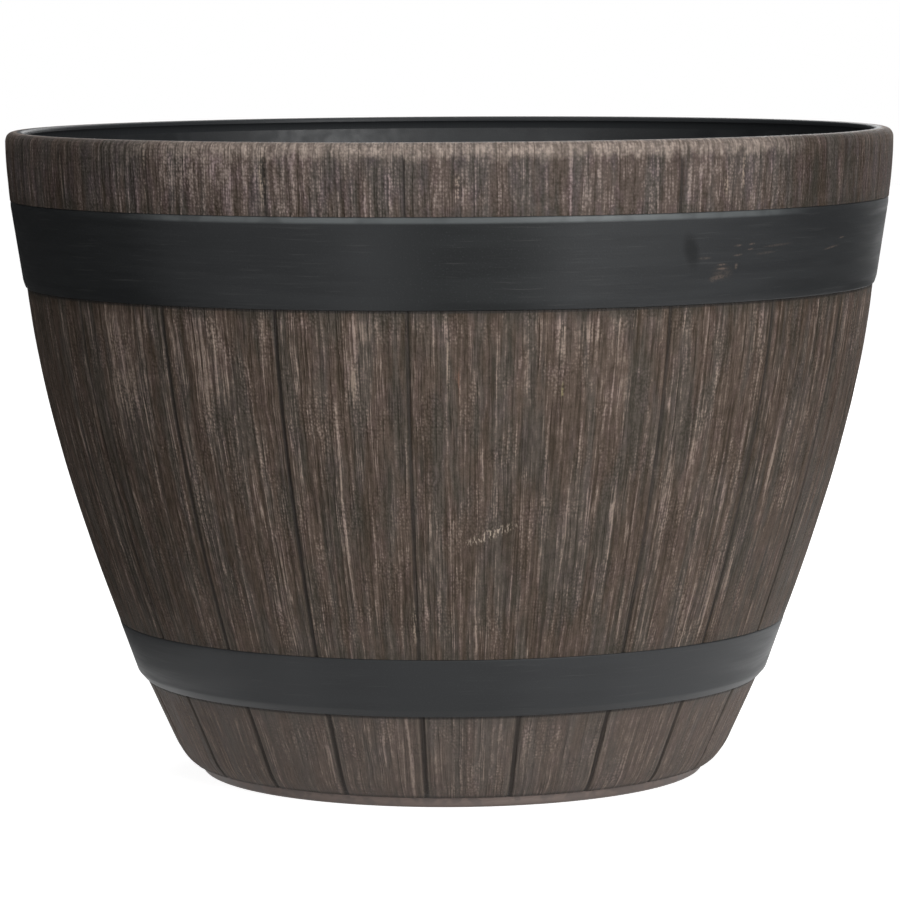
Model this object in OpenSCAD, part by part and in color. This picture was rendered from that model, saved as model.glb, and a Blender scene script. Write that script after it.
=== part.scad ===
// Barrel planter: a one-piece moulded shell of staves with a rolled rim and a foot ring,
// two hoops that snap into seats round it, and four plugs that close the drain holes.
// Millimetres, +Z up, origin at the centre of the face that the foot ring stands on.
// The front is -Y.

/* [Barrel] */
// Outer diameter at the rim
rim_d = 394; // [360:1:440]
// Height from the ground to the top of the rim
barrel_h = 286; // [270:1:330]
// Diameter of the staves where the rounded bottom corner starts
base_d = 250; // [240:1:260]
// Height at which the rounded bottom corner starts
corner_start = 15; // [12:0.5:18]
// How much further the rounded corner leans at its lower edge than the staves above it, in degrees
corner_turn = 21; // [14:0.5:30]
// Thickness of the moulded wall
wall_t = 6; // [5:0.1:7.5]
// Thickness of the floor
floor_t = 7; // [6:0.5:10]
// Radius of the fillet inside, between the floor and the wall
floor_fillet = 14; // [8:1:18]
// Lean of the wall from upright just above the lower hoop, in degrees
lean_above_lower = 20.3; // [17:0.1:23]
// Lean of the wall from upright just below the upper hoop, in degrees
lean_below_upper = 6.3; // [3:0.1:9]
// Lean of the wall from upright just above the upper hoop, in degrees
lean_above_upper = 6; // [3:0.1:8]

/* [Rim] */
// Width of the rim's top, which overhangs the wall on the inside
rim_w = 8; // [7.5:0.1:11]
// Thickness of the rim's inner lip
rim_lip_t = 3; // [2.5:0.1:5]
// Radius of the rim's outer edge
rim_outer_r = 4; // [2:0.1:5]
// Radius of the rim's inner edge
rim_inner_r = 1.2; // [0.6:0.1:2]

/* [Foot] */
// Height of the staves' lower edge above the ground
foot_gap = 4.9; // [4:0.1:7]
// How far the foot ring is set in under the staves' lower edge
foot_inset = 5.5; // [3:0.1:8]
// Width of the foot ring's standing face
foot_w = 9; // [6:0.5:14]
// Height of the hollow under the floor
foot_hollow_h = 8; // [7:0.5:12]
// Radius of the foot ring's lower outer edge
foot_edge_r = 1.2; // [0.5:0.1:2]

/* [Staves] */
// Number of staves round the barrel
stave_count = 21; // [14:1:28]
// Width of the seam between two staves
seam_w = 2; // [1:0.1:3]
// Depth of the seam between two staves
seam_depth = 1; // [0.4:0.1:1.6]
// How far a seam runs on past the ends of a band of staves
seam_run_on = 1.2; // [0.8:0.1:1.8]
// Turn of the first seam from the front, in degrees
seam_turn = -5.4; // [-8:0.1:8]

/* [Lower hoop] */
// Height of the lower hoop's bottom edge above the ground
lower_hoop_z = 43; // [38:0.5:50]
// Width of the lower hoop from edge to edge
lower_hoop_w = 26; // [20:0.5:30]
// Outer diameter of the lower hoop at its top edge
lower_hoop_d = 298.4; // [292:0.2:306]
// Lean of the lower hoop's face from upright, in degrees
lower_hoop_lean = 19.5; // [17:0.1:22]
// How far the lower hoop's face stands out from the staves below it
lower_hoop_step = 2.3; // [1.2:0.1:2.5]

/* [Upper hoop] */
// Distance from the top of the rim down to the upper hoop's top edge
upper_hoop_drop = 30; // [24:0.5:40]
// Width of the upper hoop from edge to edge
upper_hoop_w = 38.5; // [28:0.5:44]
// How much smaller the upper hoop's top edge is than the rim, on the radius
upper_hoop_inset = 1.8; // [1:0.1:4]
// Lean of the upper hoop's face from upright, in degrees
upper_hoop_lean = 8.7; // [6:0.1:11]
// How far the upper hoop's face stands out from the staves below it
upper_hoop_step = 1.1; // [0.8:0.1:2.2]

/* [Both hoops] */
// Thickness of a hoop
hoop_t = 2.8; // [2.6:0.1:3.4]
// Height of the bevel along a hoop's bottom edge
hoop_bevel_h = 5; // [2:0.1:7]
// How far a hoop's bottom edge stands out from the staves, under its bevel
hoop_edge_proud = 0.3; // [0.1:0.1:0.8]
// Height of the small bevel along a hoop's top edge
hoop_top_bevel_h = 2.6; // [1:0.1:4]
// Depth of the small bevel along a hoop's top edge
hoop_top_bevel_d = 0.5; // [0.2:0.1:1]
// Clearance all round between a hoop and its seat
hoop_gap = 0.1; // [0.05:0.05:0.2]

/* [Drain] */
// Distance of the drain holes from the centre
drain_ring_r = 75; // [60:1:90]
// Diameter of a drain hole
drain_d = 15; // [10:0.5:18]
// Clearance on the radius between a plug's stem and its hole
plug_fit = 0.05; // [0.02:0.01:0.1]
// Diameter of a plug's flange
flange_d = 25; // [22:0.5:32]
// Thickness of a plug's flange, which is the depth of its recess in the floor
flange_t = 2.4; // [1.8:0.1:3.5]
// Clearance on the radius between the flange and its recess
flange_gap = 0.8; // [0.4:0.1:1.5]
// How far a plug's stem reaches below the floor
stem_reach = 3.5; // [1:0.1:5]
// Height of the bevel at a stem's tip
stem_bevel = 1.2; // [0.5:0.1:1.5]
// Diameter of the hollow in a plug's stem
stem_hollow_d = 8; // [4:0.5:9]
// Height of a plug's pull tab above its flange
tab_h = 9; // [7:0.5:14]
// Width of a plug's pull tab
tab_w = 12; // [8:0.5:16]
// Thickness of a plug's pull tab
tab_t = 3.2; // [2:0.1:5]
// Radius of the flat crown in the middle of the floor, which sends water to the holes
crown_r = 50; // [30:1:54]
// Height of the crown
crown_h = 2; // [1:0.5:4]

/* [Hidden] */

// Number of drain holes, each with its plug
DRAINS = 4;

$fn = 128;
// Straight runs along a bulged band and along a round
curve_steps = 8;
corner_steps = 5;
// How far a cutting body reaches past what it cuts
past = 2;

STAVE_COLOUR = [0.37, 0.33, 0.30];
HOOP_COLOUR = [0.20, 0.21, 0.22];
PLUG_COLOUR = [0.07, 0.07, 0.07];

rim_r = rim_d / 2;
base_r = base_d / 2;
floor_z = foot_hollow_h + floor_t;
seat_z = floor_z - flange_t;

// A hoop's face: [radius at its bottom edge, radius at its top edge, bottom height, top height]
lower_top_z = lower_hoop_z + lower_hoop_w;
lower_top_r = lower_hoop_d / 2;
lower_bottom_r = lower_top_r - lower_hoop_w * tan(lower_hoop_lean);
upper_top_z = barrel_h - upper_hoop_drop;
upper_bottom_z = upper_top_z - upper_hoop_w;
upper_top_r = rim_r - upper_hoop_inset;
upper_bottom_r = upper_top_r - upper_hoop_w * tan(upper_hoop_lean);
LOWER = [lower_bottom_r, lower_top_r, lower_hoop_z, lower_top_z];
UPPER = [upper_bottom_r, upper_top_r, upper_bottom_z, upper_top_z];

// The bottom band of staves runs straight from the corner up to the lower hoop
bottom_band_r = lower_bottom_r - lower_hoop_step;
bottom_lean = atan((bottom_band_r - base_r) / (lower_hoop_z - corner_start));
middle_band_r = upper_bottom_r - upper_hoop_step;

// Points [radius, height] along a round, from one direction below level to another
function round_points(centre, r, from, to) = [
    for (i = [0:corner_steps])
        let (a = from + (to - from) * i / corner_steps)
        centre + r * [cos(a), -sin(a)]
];

// Points [radius, height] along a bulged band of staves that leans as told at each end
function band_points(low, high, lean_low, lean_high) =
    let (h = high[1] - low[1])
    [
        for (i = [0:curve_steps])
            let (t = i / curve_steps)
            let (rise = t * t * (3 - 2 * t))
            let (start = t * (1 - t) * (1 - t) * h * tan(lean_low))
            let (finish = t * t * (t - 1) * h * tan(lean_high))
            [low[0] + (high[0] - low[0]) * rise + start + finish, low[1] + h * t]
    ];

// The rounded corner under the bottom band draws the staves' lower edge in
edge_r = base_r - (corner_start - foot_gap) * tan(bottom_lean + corner_turn / 2);
BOTTOM_BAND = concat(
    band_points([edge_r, foot_gap], [base_r, corner_start], bottom_lean + corner_turn, bottom_lean),
    [[bottom_band_r, lower_hoop_z]]
);
MIDDLE_BAND = band_points([lower_top_r, lower_top_z], [middle_band_r, upper_bottom_z],
    lean_above_lower, lean_below_upper);
TOP_BAND = band_points([upper_top_r, upper_top_z], [rim_r, barrel_h - rim_outer_r],
    lean_above_upper, 0);

// The foot ring, from its hollow out to the staves' lower edge
foot_top_r = edge_r - foot_inset;
foot_inner_r = foot_top_r - foot_w - foot_edge_r;

// The fillet inside, tangent to the floor and to the wall that leans away above it
fillet_z = floor_z + floor_fillet;
fillet_r = bottom_band_r - wall_t
    + ((fillet_z - lower_hoop_z) * sin(bottom_lean) - floor_fillet) / cos(bottom_lean);
INNER_CORNER = round_points([fillet_r, fillet_z], floor_fillet, 90, bottom_lean);

function reversed(points) = [for (i = [len(points) - 1:-1:0]) points[i]];
function moved_in(points, d) = [for (p = points) p - [d, 0]];

// A hoop's seat in the shell: in over the lower lip, up its back, and out again
function seat_points(face) = [
    [face[0] - hoop_t, face[2]],
    [face[1] - hoop_t, face[3]]
];

// The wall inside follows the bands outside, up to the slope under the rim's lip
lip_slope = rim_w - wall_t;
INNER_TOP = concat(
    [for (p = TOP_BAND) if (p[1] < barrel_h - rim_lip_t - lip_slope) p - [wall_t, 0]],
    [[rim_r - wall_t, barrel_h - rim_lip_t - lip_slope]]
);

// The shell's section, up the outside and down the inside
SHELL = concat(
    [[0, foot_hollow_h], [foot_inner_r, foot_hollow_h], [foot_inner_r, 0]],
    round_points([foot_top_r - foot_edge_r, foot_edge_r], foot_edge_r, 90, 0),
    [[foot_top_r, foot_gap]],
    BOTTOM_BAND,
    seat_points(LOWER),
    MIDDLE_BAND,
    seat_points(UPPER),
    TOP_BAND,
    round_points([rim_r - rim_outer_r, barrel_h - rim_outer_r], rim_outer_r, -15, -90),
    round_points([rim_r - rim_w + rim_inner_r, barrel_h - rim_inner_r], rim_inner_r, -90, -180),
    [[rim_r - rim_w, barrel_h - rim_lip_t]],
    reversed(INNER_TOP),
    reversed(moved_in(MIDDLE_BAND, wall_t)),
    [[bottom_band_r - wall_t, lower_hoop_z]],
    reversed(INNER_CORNER),
    [[0, floor_z]]
);

// A band whose ends run on a little, so that a cut along it goes clean through its edges
function run_on(points) =
    let (last = len(points) - 1)
    let (down = points[0] - points[1])
    let (up = points[last] - points[last - 1])
    concat(
        [points[0] + down * seam_run_on / norm(down)],
        [for (i = [1:last - 1]) points[i]],
        [points[last] + up * seam_run_on / norm(up)]
    );

SEAM_LINE = concat(run_on(BOTTOM_BAND), run_on(MIDDLE_BAND), run_on(TOP_BAND));

// Slots of even width and depth that follow the bands all the way up
module seams() {
    for (i = [0:stave_count - 1])
        rotate([0, 0, seam_turn - 90 + i * 360 / stave_count])
            rotate([90, 0, 0])
                linear_extrude(height = seam_w, center = true)
                    polygon(concat(
                        moved_in(SEAM_LINE, seam_depth),
                        reversed(moved_in(SEAM_LINE, -past))
                    ));
}

// Places each child at the drain hole of that number
module at_drain(i) {
    rotate([0, 0, (i - 0.5) * 360 / DRAINS])
        translate([drain_ring_r, 0, 0])
            children();
}

module barrel_shell() {
    color(STAVE_COLOUR)
    difference() {
        union() {
            rotate_extrude()
                polygon(SHELL);
            translate([0, 0, floor_z])
                cylinder(r1 = crown_r, r2 = crown_r - crown_h, h = crown_h);
        }
        seams();
        for (i = [1:DRAINS])
            at_drain(i) {
                cylinder(d = drain_d, h = floor_z);
                translate([0, 0, seat_z])
                    cylinder(r = flange_d / 2 + flange_gap, h = flange_t + past);
            }
    }
}

// A hoop fills its seat: a leaning face with a bevel along each edge
module hoop(face, step) {
    slope = (face[1] - face[0]) / (face[3] - face[2]);
    bottom_z = face[2] + hoop_gap;
    top_z = face[3] - hoop_gap;
    back = hoop_t - hoop_gap;
    rotate_extrude()
        polygon([
            [face[0] - back, bottom_z],
            [face[0] - step + hoop_edge_proud, bottom_z],
            [face[0] + hoop_bevel_h * slope, face[2] + hoop_bevel_h],
            [face[1] - hoop_top_bevel_h * slope, face[3] - hoop_top_bevel_h],
            [face[1] - hoop_top_bevel_d, top_z],
            [face[1] - back, top_z]
        ]);
}

module lower_hoop() {
    color(HOOP_COLOUR)
        hoop(LOWER, lower_hoop_step);
}

module upper_hoop() {
    color(HOOP_COLOUR)
        hoop(UPPER, upper_hoop_step);
}

// A plug drops in from inside: a flange in its recess, a hollow stem below and a tab above
module drain_plug(i) {
    stem_r = drain_d / 2 - plug_fit;
    stem_bottom = foot_hollow_h - stem_reach;
    tab_top = floor_z + tab_h;
    color(PLUG_COLOUR)
    at_drain(i) {
        difference() {
            union() {
                translate([0, 0, seat_z])
                    cylinder(d = flange_d, h = flange_t);
                translate([0, 0, stem_bottom + stem_bevel])
                    cylinder(r = stem_r, h = seat_z - stem_bottom - stem_bevel);
                translate([0, 0, stem_bottom])
                    cylinder(r1 = stem_r - stem_bevel, r2 = stem_r, h = stem_bevel);
            }
            translate([0, 0, stem_bottom - past])
                cylinder(d = stem_hollow_d, h = seat_z - stem_bottom + past);
        }
        translate([-tab_t / 2, -tab_w / 2, floor_z])
            cube([tab_t, tab_w, tab_h - tab_w / 2]);
        translate([-tab_t / 2, 0, tab_top - tab_w / 2])
            rotate([0, 90, 0])
                cylinder(d = tab_w, h = tab_t);
    }
}

barrel_shell();
lower_hoop();
upper_hoop();
drain_plug(1);  // drain_plug_1
drain_plug(2);  // drain_plug_2
drain_plug(3);  // drain_plug_3
drain_plug(4);  // drain_plug_4
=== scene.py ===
import math

import bmesh
import bpy
from mathutils import Matrix, Vector, noise


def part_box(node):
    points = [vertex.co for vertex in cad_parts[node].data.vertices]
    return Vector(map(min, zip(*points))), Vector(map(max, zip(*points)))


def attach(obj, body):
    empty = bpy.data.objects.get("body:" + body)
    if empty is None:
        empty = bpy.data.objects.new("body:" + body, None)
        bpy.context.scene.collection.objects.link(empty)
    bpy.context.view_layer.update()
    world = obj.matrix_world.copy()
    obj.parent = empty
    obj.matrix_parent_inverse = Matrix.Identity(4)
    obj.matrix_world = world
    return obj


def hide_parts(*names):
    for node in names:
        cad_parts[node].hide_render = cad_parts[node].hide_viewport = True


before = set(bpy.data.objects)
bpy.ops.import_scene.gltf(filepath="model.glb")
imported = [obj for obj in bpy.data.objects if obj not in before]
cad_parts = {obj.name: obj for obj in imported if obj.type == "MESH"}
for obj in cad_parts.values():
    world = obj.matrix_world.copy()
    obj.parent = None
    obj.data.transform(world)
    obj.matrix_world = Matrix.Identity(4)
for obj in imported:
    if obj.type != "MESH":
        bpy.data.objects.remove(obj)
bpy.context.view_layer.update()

# The tub
# One moulding of charcoal plastic, the core of the planter: a smooth inside, a floor with four drain
# holes and a foot ring underneath. Its outside has two seats for the hoops and hides behind the staves.
MM = 0.001
rim_r = min(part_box("barrel_shell")[1].xy)
rim_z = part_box("barrel_shell")[1].z
wall_t = 6 * MM
stave_t = 2.5 * MM
floor_z = 15 * MM
fillet_r = 14 * MM
crown_r = 50 * MM
crown_h = 2 * MM
foot_r = 112.4 * MM
foot_w = 9 * MM
foot_h = 4.9 * MM
foot_round = 1.2 * MM
hollow_z = 8 * MM
foot_inner_round = 0.6 * MM
lip_t = 2 * MM
lip_w = 8 * MM
cove_h = 3.6 * MM
drain_ring_r = 75 * MM
drain_r = 7.5 * MM
recess_r = 13.3 * MM
recess_z = 12.6 * MM
DRAINS = 4
STAVES = 21
TUB_COLUMNS = 12

# Radius and height of each hoop's face at its bottom and top edges
LOWER_HOOP = [(139.99 * MM, 43 * MM), (149.2 * MM, 69 * MM)]
UPPER_HOOP = [(189.31 * MM, 217.5 * MM), (195.2 * MM, 256 * MM)]
hoop_seat_t = 2.8 * MM
# How far the staves stand back from the bottom edge of the hoop above them
lower_step = 2.3 * MM
upper_step = 1.1 * MM


def bulged(low, high, lean_low, lean_high, steps):
    """Points (radius, height) along a bulged band that leans as told at each end, in degrees."""
    h = high[1] - low[1]
    points = []
    for i in range(steps + 1):
        t = i / steps
        rise = t * t * (3 - 2 * t)
        start = t * (1 - t) ** 2 * h * math.tan(math.radians(lean_low))
        finish = t * t * (t - 1) * h * math.tan(math.radians(lean_high))
        points.append((low[0] + (high[0] - low[0]) * rise + start + finish, low[1] + h * t))
    return points


def arc(centre, radius, first, last, steps):
    """Points (radius, height) along a round, between two directions in degrees up from straight out."""
    points = []
    for i in range(steps + 1):
        a = math.radians(first + (last - first) * i / steps)
        points.append((centre[0] + radius * math.cos(a), centre[1] + radius * math.sin(a)))
    return points


def moved_in(points, distance):
    """The same points, nearer to the axis by a distance."""
    return [(r - distance, z) for r, z in points]


# The outer face from the foot up: the rounded corner, then the bottom, middle and top bands, each between
# its leans in degrees
edge_r = 117.95 * MM
corner = (125 * MM, 15 * MM)
bottom_lean = 24.4
CORNER_ROUND = bulged((edge_r, foot_h), corner, 45.4, bottom_lean, 7)
bottom_end = (LOWER_HOOP[0][0] - lower_step, LOWER_HOOP[0][1])
BOTTOM_STRAIGHT = bulged(corner, bottom_end, bottom_lean, bottom_lean, 8)
middle_end = (UPPER_HOOP[0][0] - upper_step, UPPER_HOOP[0][1])
MIDDLE_BULGE = bulged(LOWER_HOOP[1], middle_end, 20.3, 6.3, 36)
rim_round = 4 * MM
TOP_BULGE = bulged(UPPER_HOOP[1], (rim_r, rim_z - rim_round), 6, 0, 9)
# The inner wall ends where the cove under the rim's lip begins
inner_top = (rim_r - wall_t, rim_z - lip_t - cove_h)


def spun_mesh(section, columns, start=0.0, parts=STAVES):
    """A closed section of (radius, height) points, spun through one part of a turn in so many columns and
    repeated all the way round. Each vertex keeps how far along the section it lies."""
    bm = bmesh.new()
    along = bm.verts.layers.float.new("along")
    points = []
    reached = 0.0
    for i, (r, z) in enumerate(section):
        reached += math.dist((r, z), section[max(i - 1, 0)])
        points.append(bm.verts.new((r * math.cos(start), r * math.sin(start), z)))
        points[-1][along] = reached
    edges = [bm.edges.new(pair) for pair in zip(points, points[1:] + points[:1])]
    part = math.tau / parts
    bmesh.ops.spin(bm, geom=points + edges, cent=(0, 0, 0), axis=(0, 0, 1), angle=part, steps=columns)
    bmesh.ops.spin(bm, geom=bm.verts[:] + bm.edges[:] + bm.faces[:], cent=(0, 0, 0), axis=(0, 0, 1),
                   angle=math.tau - part, steps=parts - 1, use_duplicate=True)
    bmesh.ops.remove_doubles(bm, verts=bm.verts, dist=0.001 * MM)
    bmesh.ops.recalc_face_normals(bm, faces=bm.faces)
    return bm


def as_object(name, bm):
    """An object with the mesh that was shaped in bm."""
    mesh = bpy.data.meshes.new(name)
    bm.to_mesh(mesh)
    bm.free()
    piece = bpy.data.objects.new(name, mesh)
    bpy.context.scene.collection.objects.link(piece)
    return piece


def soften(piece, angle):
    """Smooth shading with sharp edges only where faces meet at more than an angle in degrees."""
    piece.data.shade_smooth()
    piece.data.set_sharp_from_angle(angle=math.radians(angle))


def merged(piece, other, operation):
    """Joins another solid to the piece or cuts it away, and drops the other."""
    modifier = piece.modifiers.new("merge", "BOOLEAN")
    modifier.operation = operation
    modifier.solver = "EXACT"
    modifier.object = other
    bpy.context.view_layer.update()
    result = bpy.data.meshes.new_from_object(piece.evaluated_get(bpy.context.evaluated_depsgraph_get()))
    result.name = piece.name
    piece.modifiers.clear()
    piece.data = result
    bpy.data.objects.remove(other)


def at_drain(i):
    """The place of a drain hole: turned to its number, and out from the centre."""
    return Matrix.Rotation((i - 0.5) * math.tau / DRAINS, 4, "Z") @ Matrix.Translation((drain_ring_r, 0, 0))


# The inside follows the outer face one wall's thickness in, and a fillet joins it to the floor
inner_corner = (LOWER_HOOP[0][0] - lower_step - wall_t, LOWER_HOOP[0][1])
lean = math.radians(bottom_lean)
fillet_z = floor_z + fillet_r
fillet_x = inner_corner[0] + ((fillet_z - inner_corner[1]) * math.sin(lean) - fillet_r) / math.cos(lean)
tub_inside = (
    [(0, floor_z + crown_h), (crown_r - crown_h, floor_z + crown_h), (crown_r, floor_z)]
    + arc((fillet_x, fillet_z), fillet_r, -90, -bottom_lean, 7)
    + [inner_corner]
    + moved_in(MIDDLE_BULGE[::3], wall_t)
    + moved_in(TOP_BULGE[:-2:2], wall_t)
    + [inner_top]
)
tub_outside = (
    [(rim_r - stave_t, inner_top[1])]
    + moved_in(TOP_BULGE[-3::-2], stave_t)
    + moved_in(UPPER_HOOP[::-1], hoop_seat_t)
    + moved_in(MIDDLE_BULGE[::-3], stave_t)
    + moved_in(LOWER_HOOP[::-1], hoop_seat_t)
    + moved_in(BOTTOM_STRAIGHT[::-2], stave_t)
    + [(foot_r, hollow_z)]
    + arc((foot_r - foot_round, foot_round), foot_round, 0, -90, 5)
    + arc((foot_r - foot_w - 2 * foot_inner_round, foot_inner_round), foot_inner_round, -90, -180, 3)
    + [(foot_r - foot_w - 3 * foot_inner_round, hollow_z), (0, hollow_z)]
)
tub = as_object("tub", spun_mesh(tub_inside + tub_outside, TUB_COLUMNS))

# Each drain hole with its recess, cut out as one solid that ends well above the floor
chamfer = 0.4 * MM
hole_section = [
    (0, 0), (drain_r, 0), (drain_r, recess_z), (recess_r, recess_z), (recess_r, floor_z - chamfer),
    (recess_r + chamfer, floor_z), (recess_r + chamfer, floor_z + crown_r), (0, floor_z + crown_r),
]
for i in range(1, DRAINS + 1):
    hole = as_object("hole", spun_mesh(hole_section, 12, parts=8))
    hole.data.transform(at_drain(i))
    merged(tub, hole, "DIFFERENCE")
soften(tub, 32)


def new_material(name):
    """A material with its Principled shader, and the tree that both stand in."""
    material = bpy.data.materials.new(name)
    material.use_nodes = True
    return material, material.node_tree, material.node_tree.nodes["Principled BSDF"]


def add(tree, kind, values=None, **settings):
    """A node with its settings, and with a number or a link on each socket named."""
    made = tree.nodes.new(kind)
    for key, value in settings.items():
        setattr(made, key, value)
    for socket, value in (values or {}).items():
        if isinstance(value, bpy.types.NodeSocket):
            tree.links.new(value, made.inputs[socket])
        else:
            made.inputs[socket].default_value = value
    return made


def maths(tree, operation, a, b=0.0):
    """One step of arithmetic on values over the surface."""
    return add(tree, "ShaderNodeMath", {0: a, 1: b}, operation=operation).outputs[0]


def ramp(tree, value, low, high, to_low=0.0, to_high=1.0):
    """A soft step from one value to another as the input goes from low to high."""
    sockets = {"Value": value, "From Min": low, "From Max": high, "To Min": to_low, "To Max": to_high}
    return add(tree, "ShaderNodeMapRange", sockets, interpolation_type="SMOOTHSTEP").outputs["Result"]


def mixed(tree, share, a, b, blend="MIX"):
    """Two colours mixed by a share."""
    return add(tree, "ShaderNodeMix", {0: share, 6: a, 7: b}, data_type="RGBA", blend_type=blend).outputs[2]


def summed(tree, parts):
    """Patterns added up, each given as its value, its mean and its weight."""
    total = 0.0
    for value, mean, weight in parts:
        part = maths(tree, "MULTIPLY", maths(tree, "SUBTRACT", value, mean), weight)
        total = maths(tree, "ADD", part, total)
    return total


def new_group(name, inputs):
    """A node group with named inputs, which are vectors where their value is None, and one value put out."""
    tree = bpy.data.node_groups.new(name, "ShaderNodeTree")
    for label, value in inputs.items():
        kind = "NodeSocketVector" if value is None else "NodeSocketFloat"
        socket = tree.interface.new_socket(label, in_out="INPUT", socket_type=kind)
        if value is not None:
            socket.default_value = value
    tree.interface.new_socket("Value", in_out="OUTPUT", socket_type="NodeSocketFloat")
    return tree, tree.nodes.new("NodeGroupInput").outputs, tree.nodes.new("NodeGroupOutput").inputs["Value"]


def use_group(tree, group, values):
    """The value that a node group puts out, with its own inputs."""
    return add(tree, "ShaderNodeGroup", values, node_tree=group).outputs["Value"]


def shade(red, green, blue):
    """A colour as it shows on a screen, from 0 to 255, in the linear values that a shader takes."""
    linear = [((c / 255 + 0.055) / 1.055) ** 2.4 if c > 10 else c / 3294.6 for c in (red, green, blue)]
    return (*linear, 1.0)


# Noise drawn out into lines along the second direction of a map in metres, as wide and long as told. The
# lines sway a little, broadly and finely.
inputs = {"Vector": None, "Width": MM, "Length": 20 * MM, "Seed": 0.0}
tree, given, result = new_group("drawn out lines", inputs)
place = add(tree, "ShaderNodeSeparateXYZ", {0: given["Vector"]}).outputs
broad = add(tree, "ShaderNodeTexNoise", {"Vector": given["Vector"], "Scale": 45.0, "Detail": 1.0})
fine = add(tree, "ShaderNodeTexNoise", {"Vector": given["Vector"], "Scale": 260.0, "Detail": 1.0})
sideways = summed(tree, [(broad.outputs["Fac"], 0.5, 1.2 * MM), (fine.outputs["Fac"], 0.5, 0.3 * MM)])
across = maths(tree, "DIVIDE", maths(tree, "ADD", place["X"], sideways), given["Width"])
down = maths(tree, "DIVIDE", place["Y"], given["Length"])
lines = add(tree, "ShaderNodeCombineXYZ", {0: across, 1: down, 2: given["Seed"]}).outputs[0]
drawn = add(tree, "ShaderNodeTexNoise", {"Vector": lines, "Scale": 1.0, "Detail": 2.0, "Roughness": 0.52})
tree.links.new(drawn.outputs["Fac"], result)
drawn_lines = tree

# Soft grains of one size, such as pores, dust or the fine texture of a mould
tree, given, result = new_group("grains", {"Vector": None, "Size": MM, "Seed": 0.0})
sized = add(tree, "ShaderNodeVectorMath", {0: given["Vector"]}, operation="SCALE")
tree.links.new(maths(tree, "DIVIDE", 1.0, given["Size"]), sized.inputs["Scale"])
seed = add(tree, "ShaderNodeCombineXYZ", {2: given["Seed"]}).outputs[0]
shifted = add(tree, "ShaderNodeVectorMath", {0: sized.outputs[0], 1: seed}, operation="ADD").outputs[0]
soft = add(tree, "ShaderNodeTexNoise", {"Vector": shifted, "Scale": 1.0, "Detail": 1.5})
tree.links.new(soft.outputs["Fac"], result)
grains = tree

material, tree, shader = new_material("charcoal plastic")
place = add(tree, "ShaderNodeTexCoord").outputs["Object"]
cloud = use_group(tree, grains, {"Vector": place, "Size": 30 * MM, "Seed": 1.0})
mould = use_group(tree, grains, {"Vector": place, "Size": 0.7 * MM, "Seed": 2.0})
flow = use_group(tree, grains, {"Vector": place, "Size": 5 * MM, "Seed": 3.0})
plastic = mixed(tree, ramp(tree, cloud, 0.35, 0.65), shade(32, 34, 36), shade(41, 43, 45))
plastic = mixed(tree, ramp(tree, mould, 0.5, 0.8, 0.0, 0.35), plastic, shade(54, 56, 58))
# The foot ring takes paint on its outside, with painted light that makes it lighter towards its top, where
# the staves' lip shades it
axes = add(tree, "ShaderNodeSeparateXYZ", {0: place}).outputs
flat = add(tree, "ShaderNodeVectorMath", {0: place, 1: (1, 1, 0)}, operation="MULTIPLY").outputs[0]
from_axis = add(tree, "ShaderNodeVectorMath", {0: flat}, operation="LENGTH").outputs["Value"]
outside = ramp(tree, from_axis, foot_r - 1.5 * MM, foot_r - 0.8 * MM)
painted = maths(tree, "MULTIPLY", outside, ramp(tree, axes["Z"], foot_h + 1 * MM, foot_h))
paint = mixed(tree, ramp(tree, axes["Z"], 0.5 * MM, foot_h), shade(98, 86, 80), shade(150, 133, 125))
paint = mixed(tree, ramp(tree, flow, 0.55, 0.4, 0.0, 0.5), paint, shade(84, 76, 72))
plastic = mixed(tree, painted, plastic, paint)
tree.links.new(plastic, shader.inputs["Base Color"])
tree.links.new(ramp(tree, flow, 0.3, 0.7, 0.42, 0.56), shader.inputs["Roughness"])
texture = maths(tree, "ADD", maths(tree, "MULTIPLY", flow, 0.6), mould)
bump = add(tree, "ShaderNodeBump", {"Height": texture, "Strength": 0.35, "Distance": 0.12 * MM})
tree.links.new(bump.outputs["Normal"], shader.inputs["Normal"])
tub.data.materials.clear()
tub.data.materials.append(material)
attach(tub, "barrel")
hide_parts("barrel_shell")

# The staves
# The outside of the same moulding: three bands of 21 staves, with wood grain pressed into the plastic and
# a groove between neighbours. Tan paint is brushed dry over the dark plastic, so that it catches on the
# raised grain. It lies thickest on the rounded edge of the rim, and ends in a ragged line on top of it.
first_seam_left = 5.4
first_seam = math.radians(-first_seam_left - 90)
# How much paint each stave carries above and below the upper hoop, counted from the seam just left of the
# front's middle and on round the barrel to the right
TOP_LOAD = [0.4, 0.5, 0.6, -1.2, -0.3, 0.3, -0.5, 0.1, 0.5, -0.3, 0.0, 0.6, -0.5, 0.3, -0.2, 0.4, -0.4, 0.0,
            -0.1, 0.9, 0.5]
WALL_LOAD = [0.0, -0.1, 0.4, 0.1, 0.2, -0.4, 0.3, 0.1, -0.5, 0.2, 0.4, -0.2, -0.6, 0.1, 0.5, -0.3, 0.2, 0.0,
             -0.1, 0.1, 0.0]
# How much paint lies on the rim above each stave
RIM_LOAD = [0.9, 1.0, 0.9, 0.05, 0.1, 0.6, 0.9, 0.8, 0.3, 0.7, 1.0, 0.6, 0.2, 0.8, 0.9, 0.5, 0.3, 0.05, 0.1,
            0.9, 1.0]
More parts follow.
